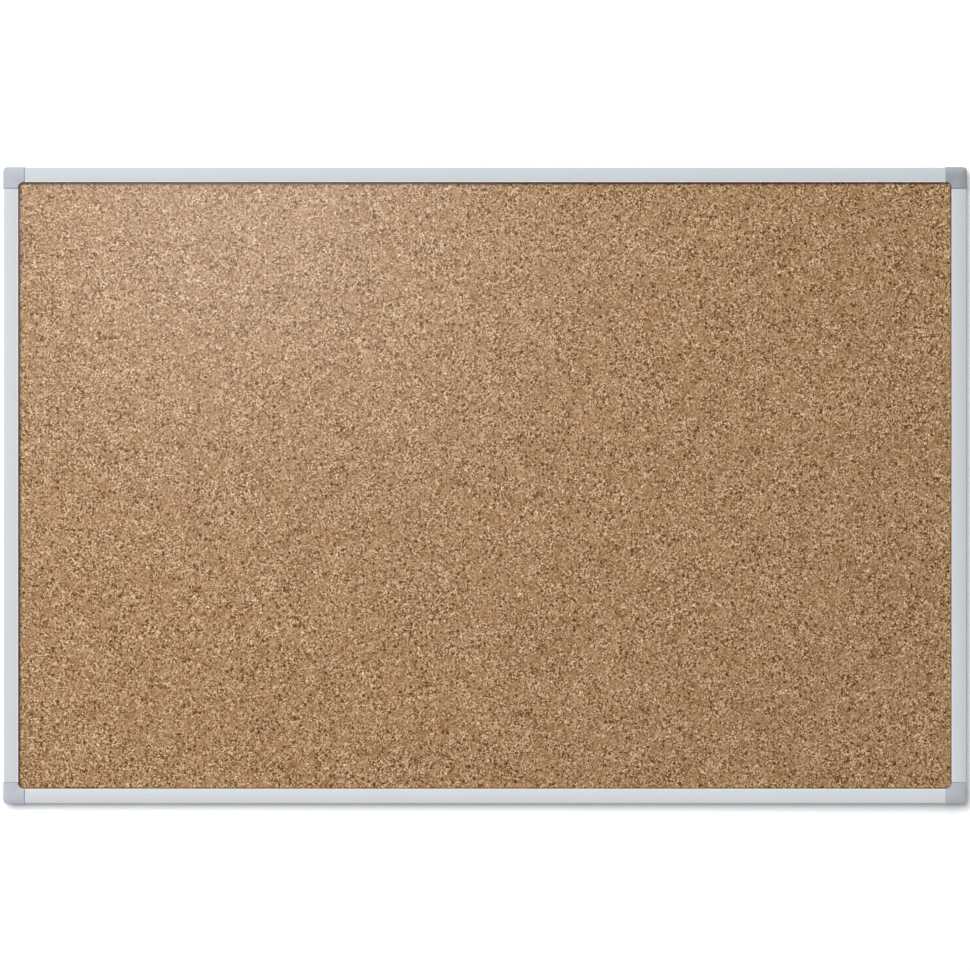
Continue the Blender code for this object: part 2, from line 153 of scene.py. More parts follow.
# Aluminium
METAL_DARK = (0.618, 0.645, 0.664, 1)
METAL_LIGHT = (0.663, 0.690, 0.709, 1)
METAL_CLOUDED = (0.598, 0.625, 0.646, 1)
METAL_CLOUD_SHARE = 0.25
METAL_ROUGHNESS = (0.60, 0.70)  # its grain's range
METAL_METALLIC = 0.5
# Painted highlight: the bead is coloured lighter than the rest of the rail
BEAD_HIGHLIGHT_COLOUR = (0.76, 0.78, 0.79, 1)
BEAD_ROUGHNESS = 0.45
BEAD_BLEND = 0.1 * MM  # over which the rail's finish becomes the bead's
DIE_LINE = 0.35 * MM
LINE_STRETCH = 0.002  # how little a die line changes along the rail
LINE_ROUGHNESS = 0.08  # that a die line adds
METAL_CLOUD = 60 * MM
METAL_GRAIN = 0.25 * MM
METAL_BUMP = 0.01 * MM

# Plastic, steel, fibres
FLOW_MARK = 11 * MM
SPECK_SHADES = (0.96, 1.04)
GRAIN_ROUGHNESS = (-0.06, 0.08)  # what the grain adds to the plastic's roughness
PLASTIC_COAT = 0.6
PLASTIC_COAT_ROUGHNESS = 0.35
PLASTIC_BUMP = 0.02 * MM
SCRATCH = 0.12 * MM
SCRATCH_STRETCH = 0.08
BLOOM = 1.5 * MM
STEEL_BLUISH = (0.60, 0.61, 0.62, 1)
STEEL_YELLOWISH = (0.74, 0.73, 0.68, 1)
STEEL_ROUGHNESS = (0.2, 0.42)  # its scratches' range
FIBRE_CLOUD = 40 * MM
FIBRE_STRETCH = 0.12
FIBRE_LAYERS = 3
FIBRE_FIRST_TURN = 20  # the first layer's direction, in degrees
FIBRE_TURN = 63  # from each layer to the next
FIBRE_SHARE = 0.35  # of a strand's own colour
FLECK_SPACING = 7 * MM
FLECK_JITTER = (1 * MM, 1 * MM)
FLECK_EDGE = (0.06, 0.1)  # where a fleck begins to fade and ends, of its spacing
FLECK_STRENGTH = 0.5
FIBRE_BUMP = 0.03 * MM

# Between these lie most of a noise's values
NOISE_LOW = 0.3
NOISE_HIGH = 0.7

ELBOW_EDGE = 0.15 * MM  # softened edges
SCREW_EDGE = ELBOW_EDGE / 3
OVERSHOOT = 1 * MM  # of cutters beyond what they cut
WELD = 0.001 * MM  # closer points are one
FLAT = math.radians(1)
SMOOTH_BELOW = math.radians(38)
SOFTEN_ABOVE = math.radians(50)

# Studio
STUDIO_LEVEL = 1.25  # how bright it makes a pure white surface that faces the camera
SKY_COLOUR = (0.97, 0.985, 1.0, 1)
SKY_LEVEL = 0.55
SKY_LEAN = (-0.46, 0, 0.5)  # how much brighter the surroundings grow along each axis
SKY_DARKEST = 0.1
CAMERA_DISTANCE = 3.2
VIEW_WIDTH = 0.9195  # of what the camera sees at the board's front
SENSOR = 36.0
WALL_GAP = 0.3 * MM
WALL_TOP = 2.5
STAGE_HALF_WIDTH = 3
FLOOR_DROP = 0.75  # below the board
FLOOR_REACH = 4
WALL_COLOUR = (1.0, 1.0, 1.0, 1)
FLOOR_COLOUR = (0.86, 0.86, 0.86, 1)
STAGE_CLOUD = 0.4
STAGE_CLOUD_COLOUR = (0.6, 0.6, 0.6, 1)
STAGE_CLOUD_SHARE = 0.06
STAGE_ROUGHNESS = 0.9

# A drawing in the front's plane: its x is along X, its y down, and it's extruded along Y
PLAN_AXES = Matrix(((1, 0, 0, 0), (0, 0, 1, 0), (0, -1, 0, 0), (0, 0, 0, 1)))
# A rail's section: its x is down, its y along Y, and it's extruded along X
SECTION_AXES = Matrix(((0, 0, 1, 0), (0, 1, 0, 0), (-1, 0, 0, 0), (0, 0, 0, 1)))
INTO_WALL = Matrix.Rotation(-math.pi / 2, 4, "X")  # turns Z to Y

# Corners, with the signs of their X and Z, and sides: each a quarter turn on from the last
CORNERS = (
    ("top_left", -1, 1),
    ("top_right", 1, 1),
    ("bottom_right", 1, -1),
    ("bottom_left", -1, -1),
)
SIDES = ("top", "right", "bottom", "left")

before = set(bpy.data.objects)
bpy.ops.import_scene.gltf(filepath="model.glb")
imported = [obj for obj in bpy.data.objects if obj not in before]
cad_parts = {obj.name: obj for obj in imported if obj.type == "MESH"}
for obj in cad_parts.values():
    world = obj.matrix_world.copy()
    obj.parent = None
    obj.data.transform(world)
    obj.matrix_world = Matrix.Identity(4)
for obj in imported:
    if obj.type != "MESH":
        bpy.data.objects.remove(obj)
cad_low, cad_high = (Vector(corner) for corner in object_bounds())

FRONT_Y = cad_low.y
HALF_WIDTH = cad_high.x
HALF_HEIGHT = cad_high.z
BOARD_DEPTH = cad_high.y - cad_low.y
CAP_PROUD = HALF_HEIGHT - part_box("rail_top")[1].z
CORNER_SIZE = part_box("corner_cap_top_left")[1].x + HALF_WIDTH
CAP_SKIRT_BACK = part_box("corner_cap_top_left")[1].y - FRONT_Y
OPENING_INSET = CAP_PROUD + RAIL_FACE
WEB_OUTER = RAIL_WALL + CHAMBER_WIDTH
SLOT_FLOOR = WEB_OUTER + RAIL_WALL


# ---------------------------------------------------------------- shapes


def arc(centre, radius, start, end, steps=ARC_STEPS):
    """Points on a circle's arc, angles in degrees, both ends included."""
    points = []
    for step in range(steps + 1):
        angle = math.radians(start + (end - start) * step / steps)
        x = centre[0] + radius * math.cos(angle)
        y = centre[1] + radius * math.sin(angle)
        points.append((x, y))
    return points


def new_object(name, data):
    obj = bpy.data.objects.new(name, data)
    bpy.context.scene.collection.objects.link(obj)
    return obj


def weld(mesh):
    work = bmesh.new()
    work.from_mesh(mesh)
    bmesh.ops.remove_doubles(work, verts=work.verts, dist=WELD)
    bmesh.ops.recalc_face_normals(work, faces=work.faces)
    work.to_mesh(mesh)
    work.free()


def evaluated_mesh(obj):
    bpy.context.view_layer.update()
    graph = bpy.context.evaluated_depsgraph_get()
    return bpy.data.meshes.new_from_object(obj.evaluated_get(graph))


def settle(obj, tools=()):
    """Applies obj's modifiers and removes the tools they used."""
    mesh = evaluated_mesh(obj)
    obj.modifiers.clear()
    obj.data = mesh
    weld(mesh)
    for tool in tools:
        bpy.data.objects.remove(tool)
    return obj


def extruded(name, loops, start, end, axes, end_round=0.0):
    """The outline drawn by loops (the first one outside, the rest holes), extruded from
    start to end along the drawing's normal, with its end edges rounded."""
    curve = bpy.data.curves.new(name, "CURVE")
    curve.dimensions = "2D"
    curve.fill_mode = "BOTH"
    curve.extrude = (end - start) / 2 - end_round
    curve.bevel_depth = end_round
    curve.bevel_resolution = 2
    curve.offset = -end_round
    for loop in loops:
        spline = curve.splines.new("POLY")
        spline.points.add(len(loop) - 1)
        for point, (x, y) in zip(spline.points, loop):
            point.co = (x, y, 0, 1)
        spline.use_cyclic_u = True
    drawing = new_object(name + "_drawing", curve)
    mesh = evaluated_mesh(drawing)
    mesh.transform(axes @ Matrix.Translation((0, 0, (start + end) / 2)))
    weld(mesh)
    bpy.data.objects.remove(drawing)
    return new_object(name, mesh)


def turned(name, profile, matrix):
    """A solid turned about Z from a profile of (radius, height), top to bottom."""
    mesh = bpy.data.meshes.new(name)
    points = [(radius, 0, height) for radius, height in profile]
    edges = [(step, step + 1) for step in range(len(points) - 1)]
    mesh.from_pydata(points, edges, [])
    obj = new_object(name, mesh)
    screw = obj.modifiers.new("Turn", "SCREW")
    screw.steps = ROUND_STEPS
    screw.render_steps = ROUND_STEPS
    screw.use_merge_vertices = True
    screw.merge_threshold = WELD
    settle(obj)
    obj.data.transform(matrix)
    return obj


def combined(obj, operation, *tools):
    for tool in tools:
        modifier = obj.modifiers.new(operation.title(), "BOOLEAN")
        modifier.operation = operation
        modifier.object = tool
        modifier.solver = "EXACT"
    return settle(obj, tools)


def finished(obj, node, finish, body="board"):
    """Gives a piece its material and its body, and lets it stand for its CAD node."""
    obj.name = node + "_piece"
    # painted shade or light of the piece, which its material reads
    obj["painted_light_shade"] = PAINTED_LIGHT_SHADES.get(node, (1.0, 1.0, 1.0))
    obj.data.materials.clear()
    obj.data.materials.append(finish)
    obj.data.shade_smooth()
    obj.data.set_sharp_from_angle(angle=SMOOTH_BELOW)
    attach(obj, body)
    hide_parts(node)
    return obj


def flat_shaded(obj):
    """Keeps the large faces between softened edges looking flat."""
    modifier = obj.modifiers.new("Flat faces", "WEIGHTED_NORMAL")
    modifier.keep_sharp = True
    return obj


# ---------------------------------------------------------------- cork sheet


def cork_height(x, z):
    """How far the cork's surface stands above its plane: low lumps, a slow swell, pits."""
    place = Vector((x, z, 0))
    lump = noise.noise(place / LUMP_SIZE)
    swell = noise.noise(place / SWELL_SIZE + Vector((9, 4, 0)))
    pit = max(0.0, noise.noise(place / PIT_SIZE + Vector((2, 7, 5))) - PIT_RARITY)
    return LUMP_HEIGHT * lump + SWELL_HEIGHT * (swell - 0.5) - PIT_DEPTH * pit


def edge_fade(x, z):
    """1 in the open part of the cork, 0 where the frame's lip covers it."""
    inside = min(HALF_WIDTH - abs(x), HALF_HEIGHT - abs(z)) - OPENING_INSET
    return min(1.0, max(0.0, inside / LIP_FADE + 0.5))


def grid_faces(columns, rows):
    """The squares between a grid's points, which are numbered row by row from below."""
    above = columns + 1
    faces = []
    for row in range(rows):
        for column in range(columns):
            first = row * above + column
            faces.append((first, first + 1, first + above + 1, first + above))
    return faces


def grid_rim(columns, rows):
    """The points round a grid: its bottom, its right side, its top and its left side."""
    above = columns + 1
    rim = list(range(columns))
    rim += [row * above + columns for row in range(rows)]
    rim += [rows * above + column for column in range(columns, 0, -1)]
    rim += [row * above for row in range(rows, 0, -1)]
    return rim


def make_cork(finish):
    """The sheet with its cut corners, its front a fine grid of granule relief."""
    low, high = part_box("cork_sheet")
    cad_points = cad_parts["cork_sheet"].data.vertices
    corner_reach = max(vert.co.x + vert.co.z for vert in cad_points)
    columns = round(2 * high.x / CORK_SPACING)
    rows = round(2 * high.z / CORK_SPACING)
    points = []
    for row in range(rows + 1):
        z = high.z * (2 * row / rows - 1)
        half = min(high.x, corner_reach - abs(z))
        for column in range(columns + 1):
            x = half * (2 * column / columns - 1)
            points.append((x, low.y - cork_height(x, z) * edge_fade(x, z), z))
    faces = grid_faces(columns, rows)
    rim = grid_rim(columns, rows)
    back = [len(points) + step for step in range(len(rim))]
    points += [(points[place][0], high.y, points[place][2]) for place in rim]
    for step in range(len(rim)):
        faces.append((rim[step], rim[step - 1], back[step - 1], back[step]))
    faces.append(back[::-1])
    mesh = bpy.data.meshes.new("cork")
    mesh.from_pydata(points, [], faces)
    return finished(new_object("cork", mesh), "cork_sheet", finish)


# ---------------------------------------------------------------- rails


def face_depth(across):
    """Depth of the crowned face at a distance from the outer side."""
    half = RAIL_FACE / 2
    return RAIL_SETBACK + RAIL_CROWN * ((across - half) / half) ** 2


def rail_section():
    """The rail's outline and its chamber, as (across, depth)."""
    shoulder = RAIL_OUTER_RADIUS
    crease = RAIL_FACE - RAIL_WALL
    bead_radius = RAIL_WALL / 2
    outline = arc((shoulder, face_depth(shoulder) + shoulder), shoulder, 180, 270)
    for step in range(1, CROWN_STEPS + 1):
        across = shoulder + (crease - shoulder) * step / CROWN_STEPS
        outline.append((across, face_depth(across)))
    bead_centre = (RAIL_FACE - bead_radius, RAIL_BEAD_TOP + bead_radius)
    outline += arc(bead_centre, bead_radius, RAIL_CREASE_ANGLE, 360, BEAD_STEPS)
    outline += [
        (RAIL_FACE, RAIL_LIP_BACK),
        (crease, RAIL_LIP_BACK),
        (crease, RAIL_FACE_BACK),
        (SLOT_FLOOR, RAIL_FACE_BACK),
        (SLOT_FLOOR, RAIL_SLOT_BACK),
        (RAIL_BACK_FLANGE, RAIL_SLOT_BACK),
        (RAIL_BACK_FLANGE, BOARD_DEPTH),
    ]
    back_centre = (RAIL_BACK_RADIUS, BOARD_DEPTH - RAIL_BACK_RADIUS)
    outline += arc(back_centre, RAIL_BACK_RADIUS, 90, 180, BEAD_STEPS)
    chamber = [
        (RAIL_WALL, RAIL_FACE_BACK),
        (WEB_OUTER, RAIL_FACE_BACK),
        (WEB_OUTER, CHAMBER_BACK),
        (RAIL_WALL, CHAMBER_BACK),
    ]
    return [outline, chamber]


def screw_hole(along, across):
    """Cutter for one countersunk screw hole in a rail's back."""
    profile = [
        (0, OVERSHOOT),
        (SCREW_HEAD_RADIUS, OVERSHOOT),
        (SCREW_HEAD_RADIUS, -SCREW_HEAD_RIM),
        (SCREW_HOLE_RADIUS, -SCREW_HEAD_HEIGHT),
        (SCREW_HOLE_RADIUS, -SCREW_HOLE_DEPTH),
        (0, -SCREW_HOLE_DEPTH),
    ]
    place = Matrix.Translation((along, BOARD_DEPTH, across))
    return turned("screw_hole", profile, place @ INTO_WALL)


def screw_place(side):
    """The middle of one of the screws in a rail."""
    corner = "bottom_left" if side in ("bottom", "left") else "top_right"
    length = "long" if side in ("top", "bottom") else "short"
    low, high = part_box("screw_%s_%s_rail" % (corner, length))
    return (low + high) / 2


def make_rail(side, finish, quarter_turns):
    """A rail along its own X with its outer side at z = 0, turned into its place."""
    low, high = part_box("rail_" + side)
    turn = Matrix.Rotation(quarter_turns * math.pi / 2, 4, "Y")
    outward = turn @ Vector((0, 0, 1))
    edge = (low + high) / 2 + outward * RAIL_FACE / 2
    edge.y = FRONT_Y
    half = max(high - low) / 2
    start = -half - (RAIL_END_PLAY if side == "bottom" else 0)
    end = half + (RAIL_END_PLAY if side == "top" else 0)
    rail = extruded("rail", rail_section(), start, end, SECTION_AXES, RAIL_END_ROUND)
    screw = screw_place(side) - edge
    along = abs(screw @ (turn @ Vector((1, 0, 0))))
    holes = [screw_hole(way * along, screw @ outward) for way in (-1, 1)]
    combined(rail, "DIFFERENCE", *holes)
    rail.matrix_world = Matrix.Translation(edge) @ turn
    return flat_shaded(finished(rail, "rail_" + side, finish))


# ---------------------------------------------------------------- corner caps


def corner_outline():
    """The square corner with its rounded outer corner and its fillet, as (along, across)
    from the board's outer corner."""
    fillet_centre = OPENING_INSET + CORNER_FILLET
    outline = arc((CORNER_RADIUS, CORNER_RADIUS), CORNER_RADIUS, 180, 270)
    outline += [(CORNER_SIZE, 0), (CORNER_SIZE, OPENING_INSET)]
    outline += arc((fillet_centre, fillet_centre), CORNER_FILLET, 270, 180)
    outline += [(OPENING_INSET, CORNER_SIZE), (0, CORNER_SIZE)]
    return outline


def round_front_edges(cap):
    """Rounds the outline of the cap's front, its outer sides most."""
    work = bmesh.new()
    work.from_mesh(cap.data)
    bmesh.ops.dissolve_limit(work, angle_limit=FLAT, verts=work.verts, edges=work.edges)
    weights = work.edges.layers.float.new("bevel_weight_edge")
    for edge in work.edges:
        if max(vert.co.y for vert in edge.verts) > WELD:
            continue
        ends = [(vert.co.x, -vert.co.z) for vert in edge.verts]
        outer = all(min(end) < CORNER_RADIUS - WELD for end in ends)
        joint = any(all(end[axis] > CORNER_SIZE - WELD for end in ends) for axis in (0, 1))
        edge[weights] = 1.0 if outer and not joint else CAP_LIP_ROUND_SHARE
    work.to_mesh(cap.data)
    work.free()
    bevel = cap.modifiers.new("Rounding", "BEVEL")
    bevel.limit_method = "WEIGHT"
    bevel.width = CAP_EDGE_ROUND
    bevel.segments = CAP_ROUND_STEPS
    settle(cap)


def is_front(face):
    return face.calc_center_median().y < RAIL_FACE_BACK


def cut_front_grid(work):
    """Cuts the cap's front into a grid, so that it can be crowned."""
    steps = int(CORNER_SIZE / CAP_GRID)
    for step in range(1, steps + 1):
        place = step * CORNER_SIZE / (steps + 1)
        for where, facing in (((place, 0, 0), (1, 0, 0)), ((0, 0, -place), (0, 0, 1))):
            front = [face for face in work.faces if is_front(face)]
            edges = [edge for face in front for edge in face.edges]
            verts = [vert for face in front for vert in face.verts]
            geometry = list(dict.fromkeys(front + edges + verts))
            bmesh.ops.bisect_plane(work, geom=geometry, plane_co=where, plane_no=facing)


def crown_front(cap):
    """Gives the flat front the rails' crown, which turns the corner with them."""
    work = bmesh.new()
    work.from_mesh(cap.data)
    cut_front_grid(work)
    half = RAIL_FACE / 2
    for vert in work.verts:
        if vert.co.y < CAP_SHELL - WELD:
            along = vert.co.x - CAP_PROUD
            across = -vert.co.z - CAP_PROUD
            near = (along + across - math.hypot(along - across, CAP_MITRE)) / 2
            crown = CAP_CROWN if near < half else RAIL_CROWN
            fall = crown * min(1, abs(near / half - 1)) ** 2
            vert.co.y += fall * (1 - vert.co.y / CAP_SHELL)
    work.to_mesh(cap.data)
    work.free()


def hollow_out(cap):
    """Leaves the cap's front, its outer sides, and a lip along the cork that is as short
    as the rails' lips."""
    beyond = CORNER_SIZE + OVERSHOOT
    end = CAP_SKIRT_BACK + OVERSHOOT
    lip = OPENING_INSET - RAIL_WALL
    fillet_centre = OPENING_INSET + CORNER_FILLET
    hollow = [(CAP_SHELL, CAP_SHELL), (beyond, CAP_SHELL), (beyond, lip)]
    hollow += arc((fillet_centre, fillet_centre), CORNER_FILLET + RAIL_WALL, 270, 180)
    hollow += [(lip, beyond), (CAP_SHELL, beyond)]
    combined(cap, "DIFFERENCE", extruded("hollow", [hollow], CAP_SHELL, end, PLAN_AXES))
    middle = lip / 2
    inside = [(middle, middle), (beyond, middle), (beyond, beyond), (middle, beyond)]
    behind_lip = extruded("inside", [inside], RAIL_LIP_BACK, end + OVERSHOOT, PLAN_AXES)
    combined(cap, "DIFFERENCE", behind_lip)


def add_pegs(cap):
    """One round peg for each leg of the elbow."""
    leg_middle = CAP_PROUD + (RAIL_WALL + WEB_OUTER) / 2
    profile = [(0, PEG_END), (PEG_RADIUS, PEG_END), (PEG_RADIUS, PEG_ROOT), (0, PEG_ROOT)]
    for along, across in ((PEG_ALONG, leg_middle), (leg_middle, PEG_ALONG)):
        place = Matrix.Translation((along, 0, -across))
        combined(cap, "UNION", turned("peg", profile, place @ INTO_WALL))


def make_cap():
    """The top left cap, its outer corner at the origin."""
    cap = extruded("cap", [corner_outline()], 0, CAP_SKIRT_BACK, PLAN_AXES)
    round_front_edges(cap)
    hollow_out(cap)
    crown_front(cap)
    add_pegs(cap)
    return cap


def make_caps(finish):
    caps = []
    pattern = make_cap()
    for quarter_turns, (corner, side_x, side_z) in enumerate(CORNERS):
        cap = new_object("cap", pattern.data.copy())
        cap.location = (side_x * HALF_WIDTH, FRONT_Y, side_z * HALF_HEIGHT)
        cap.rotation_euler = (0, quarter_turns * math.pi / 2, 0)
        finished(cap, "corner_cap_" + corner, finish, "cap_" + corner)
        caps.append(flat_shaded(cap))
    bpy.data.objects.remove(pattern)
    return caps


# ---------------------------------------------------------------- elbows, screws, sheets


def softened(node, finish, edge_width):
    """The CAD node's own shape with its sharp edges slightly rounded."""
    work = bmesh.new()
    work.from_mesh(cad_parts[node].data)
    bmesh.ops.remove_doubles(work, verts=work.verts, dist=WELD)
    bmesh.ops.dissolve_limit(work, angle_limit=FLAT, verts=work.verts, edges=work.edges)
    mesh = bpy.data.meshes.new(node)
    work.to_mesh(mesh)
    work.free()
    obj = new_object(node + "_soft", mesh)
    bevel = obj.modifiers.new("Soft edges", "BEVEL")
    bevel.width = edge_width
    bevel.segments = 2
    bevel.angle_limit = SOFTEN_ABOVE
    settle(obj)
    finished(obj, node, finish)
    return flat_shaded(obj)


# ---------------------------------------------------------------- materials


def seen_as(red, green, blue):
    """The surface colour that the studio light shows as these 0 to 255 display values."""
    surface = []
    for value in (red, green, blue):
        value = value / 255
        linear = value / 12.92 if value < 0.04045 else ((value + 0.055) / 1.055) ** 2.4
        surface.append(linear / STUDIO_LEVEL)
    return (*surface, 1.0)


class Graph:
    """A node tree being built. Each call adds a node and gives back its output."""

    def __init__(self, tree):
        self.tree = tree

    def put(self, value, socket):
        if isinstance(value, bpy.types.NodeSocket):
            self.tree.links.new(value, socket)
        else:
            socket.default_value = value

    def add(self, kind, inputs, output=0, **settings):
        made = self.tree.nodes.new("ShaderNode" + kind)
        for key, value in settings.items():
            setattr(made, key, value)
        for key, value in inputs.items():
            self.put(value, made.inputs[key])
        return None if output is None else made.outputs[output]

    def maths(self, operation, first, second=0.0, third=0.0):
        inputs = {0: first, 1: second, 2: third}
        return self.add("Math", inputs, operation=operation)

    def along(self, place, direction):
        """How far place lies along direction, times direction's length."""
        inputs = {0: place, 1: direction}
        return self.add("VectorMath", inputs, "Value", operation="DOT_PRODUCT")

    def scaled(self, place, factors):
        return self.add("VectorMath", {0: place, 1: factors}, operation="MULTIPLY")

    def first_channel(self, colour):
        return self.add("SeparateColor", {0: colour})

    def noise(self, place, size, detail=2.0, roughness=0.5, output=0):
        inputs = {"Vector": place, "Scale": 1 / size, "Detail": detail}
        inputs["Roughness"] = roughness
        return self.add("TexNoise", inputs, output)

    def cells(self, place, size, output="Color"):
        return self.add("TexVoronoi", {"Vector": place, "Scale": 1 / size}, output)

    def jittered(self, place, jitter):
        """place pushed about by noise, to make regular cells ragged."""
        size, amount = jitter
        push = self.noise(place, size, 1.0, output="Color")
        centred = self.add("VectorMath", {0: push, 1: (0.5, 0.5, 0.5)}, operation="SUBTRACT")
        offset = self.scaled(centred, (amount, amount, amount))
        return self.add("VectorMath", {0: place, 1: offset}, operation="ADD")

    def spread(self, value, low, high, to_low=0.0, to_high=1.0):
        """value's range from low to high made to run from to_low to to_high, and no
        farther."""
        inputs = {0: value, 1: low, 2: high, 3: to_low, 4: to_high}
        return self.add("MapRange", inputs)

    def ramp(self, value, *stops):
        output = self.add("ValToRGB", {"Fac": value})
        elements = output.node.color_ramp.elements
        while len(elements) < len(stops):
            elements.new(0.5)
        for element, (position, colour) in zip(elements, stops):
            element.position = position
            element.color = colour
        return output

    def mix(self, factor, first, second, blend="MIX"):
        inputs = {0: factor, 6: first, 7: second}
        return self.add("Mix", inputs, 2, data_type="RGBA", blend_type=blend)

    def bump(self, height, distance):
        return self.add("Bump", {"Height": height, "Distance": distance})


class Finish(Graph):
    """A material, its place measured in the piece's own axes. Its slot is the name that
    the record has for it."""

    def __init__(self, name):
        self.material = bpy.data.materials.new(name + "_finish")
        self.material["slot"] = name
        self.material.use_nodes = True
        super().__init__(self.material.node_tree)
        self.shader = self.tree.nodes["Principled BSDF"]
        self.place = self.add("TexCoord", {}, "Object")

    def painted_light_shade(self):
        """The painted shade or light that the piece was given when it was finished, for how
        the light falls on it.
        """
        settings = {"attribute_type": "OBJECT", "attribute_name": "painted_light_shade"}
        return self.add("Attribute", {}, "Color", **settings)

    def done(self, **inputs):
        for key, value in inputs.items():
            self.put(value, self.shader.inputs[key.replace("_", " ")])
        return self.material


def cork_finish():
    """Fine pressed cork: ragged granules of many tans, dark bark bits and pale flecks."""
    made = Finish("cork")
    tone = granule_tone(made)
    colour = made.ramp(
        tone,
        (0.0, seen_as(34, 12, 0)),
        (0.28, seen_as(108, 68, 26)),
        (0.5, seen_as(161, 124, 85)),
        (0.72, seen_as(211, 176, 142)),
        (1.0, seen_as(255, 238, 196)),
    )
    colour = made.mix(bark_bits(made), colour, seen_as(90, 51, 0))
    tint = made.noise(made.place, TINT, 2.0, output="Color")
    colour = made.mix(TINT_SHARE, colour, tint, "OVERLAY")
    # Painted shade: a dark brown line along the lip, where the lip shades the cork
    colour = made.mix(lip_painted_shade(made), colour, seen_as(62, 24, 0))
    relief = made.bump(tone, CORK_BUMP)
    rough = made.spread(tone, 0.2, 0.8, *CORK_ROUGHNESS)
    made.done(Specular_IOR_Level=0.0)
    made.done(Coat_Weight=CORK_COAT, Coat_Roughness=CORK_COAT_ROUGHNESS)
    return made.done(Base_Color=colour, Roughness=rough, Normal=relief)


def granule_tone(made):
    """How light the cork is, 0 to 1: granules and crumbs, in clumps of more and of less
    contrast, with a faint mottle."""
    ragged = made.jittered(made.place, GRANULE_JITTER)
    tone = made.maths("MULTIPLY", made.cells(ragged, GRANULE), GRANULE_SHARE)
    crumbs = made.cells(ragged, CRUMB)
    tone = made.maths("MULTIPLY_ADD", crumbs, 1 - GRANULE_SHARE, tone)
    clump = made.cells(made.jittered(made.place, CLUMP_JITTER), CLUMP)
    lively = made.spread(made.first_channel(clump), 0.5, 0.8, *CLUMP_CONTRAST)
    tone = made.maths("MULTIPLY_ADD", made.maths("SUBTRACT", tone, 0.5), lively, 0.5)
    mottle = made.noise(made.place, MOTTLE, 3.0)
    mottle = made.spread(mottle, NOISE_LOW, NOISE_HIGH, -1, 1)
    return made.maths("MULTIPLY_ADD", mottle, MOTTLE_SHARE, tone)


def bark_bits(made):
    """Where bark shows: a bit of its own size in the middle of each cell."""
    ragged = made.jittered(made.place, BARK_JITTER)
    size = made.first_channel(made.cells(ragged, BARK_SPACING))
    from_middle = made.cells(ragged, BARK_SPACING, "Distance")
    from_edge = made.maths("MULTIPLY_ADD", size, -BARK_SIZE, from_middle)
    return made.spread(from_edge, 0.0, BARK_SOFTNESS, BARK_STRENGTH, 0)


def lip_painted_shade(made):
    """How much painted shade darkens the cork: a thin line along the frame's lip, where the
    lip shades it, broader and darker on the left, and most at the top."""
    size = made.add("VectorMath", {0: made.place}, operation="ABSOLUTE")
    across = made.along(size, (1, 0, 0))
    up = made.along(size, (0, 0, 1))
    in_x = made.maths("SUBTRACT", HALF_WIDTH - OPENING_INSET, across)
    in_z = made.maths("SUBTRACT", HALF_HEIGHT - OPENING_INSET, up)
    from_lip = made.maths("MINIMUM", in_x, in_z)
    upper_left = made.along(made.place, (-0.5 / HALF_WIDTH, 0, 0.5 / HALF_HEIGHT))
    reach = made.spread(upper_left, -LIP_SHADE_TURN, LIP_SHADE_TURN, *LIP_SHADE_REACH)
    strength = made.spread(upper_left, -LIP_SHADE_TURN, LIP_SHADE_TURN, *LIP_SHADE_STRENGTH)
    height = made.along(made.place, (0, 0, 1 / HALF_HEIGHT))
    wider = made.spread(height, *TOP_LIP_SHADE_HEIGHT, 0, TOP_LIP_SHADE)
    start = made.maths("ADD", wider, LIP_SHADE_START)
    return made.spread(from_lip, start, made.maths("ADD", wider, reach), strength, 0)


def aluminium_finish():
    """Satin anodised extrusion with faint die lines, and a bead beside the cork coloured
    lighter as a painted highlight.
    """
    made = Finish("anodised_aluminium")
    drawn = made.scaled(made.place, (LINE_STRETCH, 1, 1))
    lines = made.noise(drawn, DIE_LINE, 3.0, 0.6)
    cloud = made.noise(made.place, METAL_CLOUD)
    cloud = made.spread(cloud, NOISE_LOW, NOISE_HIGH, 0, METAL_CLOUD_SHARE)
    grain = made.noise(made.place, METAL_GRAIN)
    colour = made.mix(lines, METAL_DARK, METAL_LIGHT)
    colour = made.mix(cloud, colour, METAL_CLOUDED)
    rough = made.spread(grain, 0, 1, *METAL_ROUGHNESS)
    rough = made.maths("MULTIPLY_ADD", lines, LINE_ROUGHNESS, rough)
    inward = made.along(made.place, (0, 0, -1))
    crease = RAIL_FACE - RAIL_WALL
    bead = made.spread(inward, crease, crease + BEAD_BLEND)
    # Painted highlight along the bead
    colour = made.mix(bead, colour, BEAD_HIGHLIGHT_COLOUR)
    # painted shade or light of each rail
    colour = made.mix(1.0, colour, made.painted_light_shade(), "MULTIPLY")
    rough = made.spread(bead, 0, 1, rough, BEAD_ROUGHNESS)
    relief = made.bump(lines, METAL_BUMP)
    made.done(Metallic=METAL_METALLIC)
    return made.done(Base_Color=colour, Roughness=rough, Normal=relief)


def plastic_finish(name, dark, light, roughness, grain_size):
    """Moulded plastic with a fine spark-eroded grain and slow flow marks."""
    made = Finish(name)
    grain = made.noise(made.place, grain_size, roughness=0.6)
    flow = made.noise(made.place, FLOW_MARK)
    colour = made.mix(flow, dark, light)
    speck = made.spread(grain, NOISE_LOW, NOISE_HIGH, *SPECK_SHADES)
    shade = made.add("CombineColor", {0: speck, 1: speck, 2: speck})
    colour = made.mix(1.0, colour, shade, "MULTIPLY")
    # painted shade or light of each piece
    colour = made.mix(1.0, colour, made.painted_light_shade(), "MULTIPLY")
    smoothest, roughest = (roughness + change for change in GRAIN_ROUGHNESS)
    rough = made.spread(grain, 0.25, 0.75, smoothest, roughest)
    relief = made.bump(grain, PLASTIC_BUMP)
    made.done(Coat_Weight=PLASTIC_COAT, Coat_Roughness=PLASTIC_COAT_ROUGHNESS)
    return made.done(Base_Color=colour, Roughness=rough, Normal=relief)


